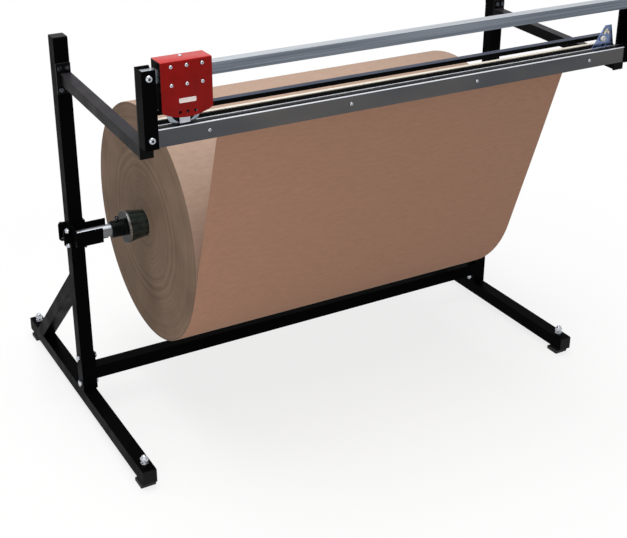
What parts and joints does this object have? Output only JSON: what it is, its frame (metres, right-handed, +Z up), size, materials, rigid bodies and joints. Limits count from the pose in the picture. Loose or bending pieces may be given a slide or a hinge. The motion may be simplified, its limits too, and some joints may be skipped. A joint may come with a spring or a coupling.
{
  "type": "floor-standing paper roll cutter",
  "caption": "Floor stand that holds a wide roll of wrapping paper on a shaft and cuts it with a wheel knife sliding along a rail.",
  "frame": {"origin": "on the floor, under the middle of the whole stand", "axes": "+X along the roll to the right, +Y to the back, so the cutter faces -Y, +Z up"},
  "size_m": [1.522, 1.129, 1.2211],
  "materials": {
    "black_powder_coat": "satin black powder coat on welded steel tube",
    "zinc_steel": "bright zinc-plated steel",
    "ground_steel": "ground bright steel",
    "rail_aluminium": "satin anodised aluminium",
    "bed_steel": "brushed steel, faint haze",
    "red_paint": "glossy red paint on sheet steel",
    "badge_metal": "plain satin plate, blank",
    "foot_rubber": "moulded black rubber",
    "cap_plastic": "black moulded plastic",
    "chuck_iron": "dark green-grey painted casting",
    "kraft_paper": "unbleached kraft paper",
    "core_board": "wound grey-brown board",
    "strip_plastic": "cream plastic",
    "white_nylon": "white turned nylon",
    "black_oxide": "blackened steel screws",
    "hook_brass": "plain brass"
  },
  "bodies": {
    "stand": {"post_left": "black_powder_coat", "post_right": "black_powder_coat", "brace_left": "black_powder_coat", "brace_right": "black_powder_coat", "foot_tube_left": "black_powder_coat", "foot_tube_right": "black_powder_coat", "crossbar": "black_powder_coat", "arm_left": "black_powder_coat", "arm_right": "black_powder_coat", "channel_left": "black_powder_coat", "channel_right": "black_powder_coat", "bed_tray": "black_powder_coat", "guide_bar": "black_powder_coat", "shaft_holder_left": "black_powder_coat", "shaft_holder_right": "black_powder_coat", "clamp_plate_left": "black_powder_coat", "clamp_plate_right": "black_powder_coat", "tube_caps": "cap_plastic", "jam_nuts": "zinc_steel", "crossbar_bolts": "zinc_steel", "arm_bolts": "black_oxide", "channel_bolts": "zinc_steel", "clamp_bolts": "zinc_steel", "bed_screws": "zinc_steel", "bracket_fasteners": "zinc_steel", "end_bracket": "zinc_steel", "top_rail": "rail_aluminium", "knife_track": "cap_plastic", "bed_bar": "bed_steel", "cutting_strip": "strip_plastic", "paper_web": "kraft_paper", "foot_pad_front_left": "foot_rubber", "foot_stud_front_left": "zinc_steel", "foot_pad_front_right": "foot_rubber", "foot_stud_front_right": "zinc_steel", "foot_pad_rear_left": "foot_rubber", "foot_stud_rear_left": "zinc_steel", "foot_pad_rear_right": "foot_rubber", "foot_stud_rear_right": "zinc_steel"},
    "carriage": {"carriage_cover": "red_paint", "carriage_body": "black_powder_coat", "carriage_screws": "zinc_steel", "knife_axle": "zinc_steel", "blade_guard": "zinc_steel", "badge_plate": "badge_metal"},
    "knife_wheel": {"knife_wheel": "ground_steel"},
    "spindle": {"shaft": "ground_steel", "chuck_left": "chuck_iron", "chuck_right": "chuck_iron", "chuck_screws": "black_oxide", "roll_core": "core_board", "paper_roll": "kraft_paper"},
    "stop_roller": {"stop_roller": "white_nylon"},
    "catch_hook": {"catch_hook": "hook_brass"},
    "guide_roller_upper_left": {"guide_roller_upper_left": "ground_steel"},
    "guide_roller_upper_middle": {"guide_roller_upper_middle": "ground_steel"},
    "guide_roller_upper_right": {"guide_roller_upper_right": "ground_steel"},
    "guide_roller_lower_left": {"guide_roller_lower_left": "ground_steel"},
    "guide_roller_lower_middle": {"guide_roller_lower_middle": "ground_steel"},
    "guide_roller_lower_right": {"guide_roller_lower_right": "ground_steel"}
  },
  "joints": [
    {"name": "carriage_slide", "type": "slide", "parent": "stand", "child": "carriage", "axis": [1, 0, 0], "range_m": [0, 1.17]},
    {"name": "knife_spin", "type": "hinge", "parent": "carriage", "child": "knife_wheel", "pos_m": [-0.6295, -0.5355, 1.098], "axis": [0, 1, 0], "continuous": true},
    {"name": "guide_roller_upper_left_spin", "type": "hinge", "parent": "carriage", "child": "guide_roller_upper_left", "pos_m": [-0.6675, -0.5355, 1.2058], "axis": [0, 1, 0], "continuous": true},
    {"name": "guide_roller_upper_middle_spin", "type": "hinge", "parent": "carriage", "child": "guide_roller_upper_middle", "pos_m": [-0.6295, -0.5355, 1.2058], "axis": [0, 1, 0], "continuous": true},
    {"name": "guide_roller_upper_right_spin", "type": "hinge", "parent": "carriage", "child": "guide_roller_upper_right", "pos_m": [-0.5915, -0.5355, 1.2058], "axis": [0, 1, 0], "continuous": true},
    {"name": "guide_roller_lower_left_spin", "type": "hinge", "parent": "carriage", "child": "guide_roller_lower_left", "pos_m": [-0.6675, -0.5355, 1.1632], "axis": [0, 1, 0], "continuous": true},
    {"name": "guide_roller_lower_middle_spin", "type": "hinge", "parent": "carriage", "child": "guide_roller_lower_middle", "pos_m": [-0.6295, -0.5355, 1.1632], "axis": [0, 1, 0], "continuous": true},
    {"name": "guide_roller_lower_right_spin", "type": "hinge", "parent": "carriage", "child": "guide_roller_lower_right", "pos_m": [-0.5915, -0.5355, 1.1632], "axis": [0, 1, 0], "continuous": true},
    {"name": "roll_spin", "type": "hinge", "parent": "stand", "child": "spindle", "pos_m": [0, 0.0108, 0.578], "axis": [1, 0, 0], "continuous": true},
    {"name": "stop_roller_spin", "type": "hinge", "parent": "stand", "child": "stop_roller", "pos_m": [0.642, -0.52075, 1.086], "axis": [0, 1, 0], "continuous": true},
    {"name": "hook_swing", "type": "hinge", "parent": "stand", "child": "catch_hook", "pos_m": [0.653, -0.52075, 1.11], "axis": [0, 1, 0], "range_deg": [-40, 60]}
  ],
  "couplings": [
    {"joint": "knife_spin", "follows": "carriage_slide", "rad_per_m": 22.727},
    {"joint": "guide_roller_upper_left_spin", "follows": "carriage_slide", "rad_per_m": 142.86},
    {"joint": "guide_roller_upper_middle_spin", "follows": "carriage_slide", "rad_per_m": 142.86},
    {"joint": "guide_roller_upper_right_spin", "follows": "carriage_slide", "rad_per_m": 142.86},
    {"joint": "guide_roller_lower_left_spin", "follows": "carriage_slide", "rad_per_m": -142.86},
    {"joint": "guide_roller_lower_middle_spin", "follows": "carriage_slide", "rad_per_m": -142.86},
    {"joint": "guide_roller_lower_right_spin", "follows": "carriage_slide", "rad_per_m": -142.86}
  ]
}
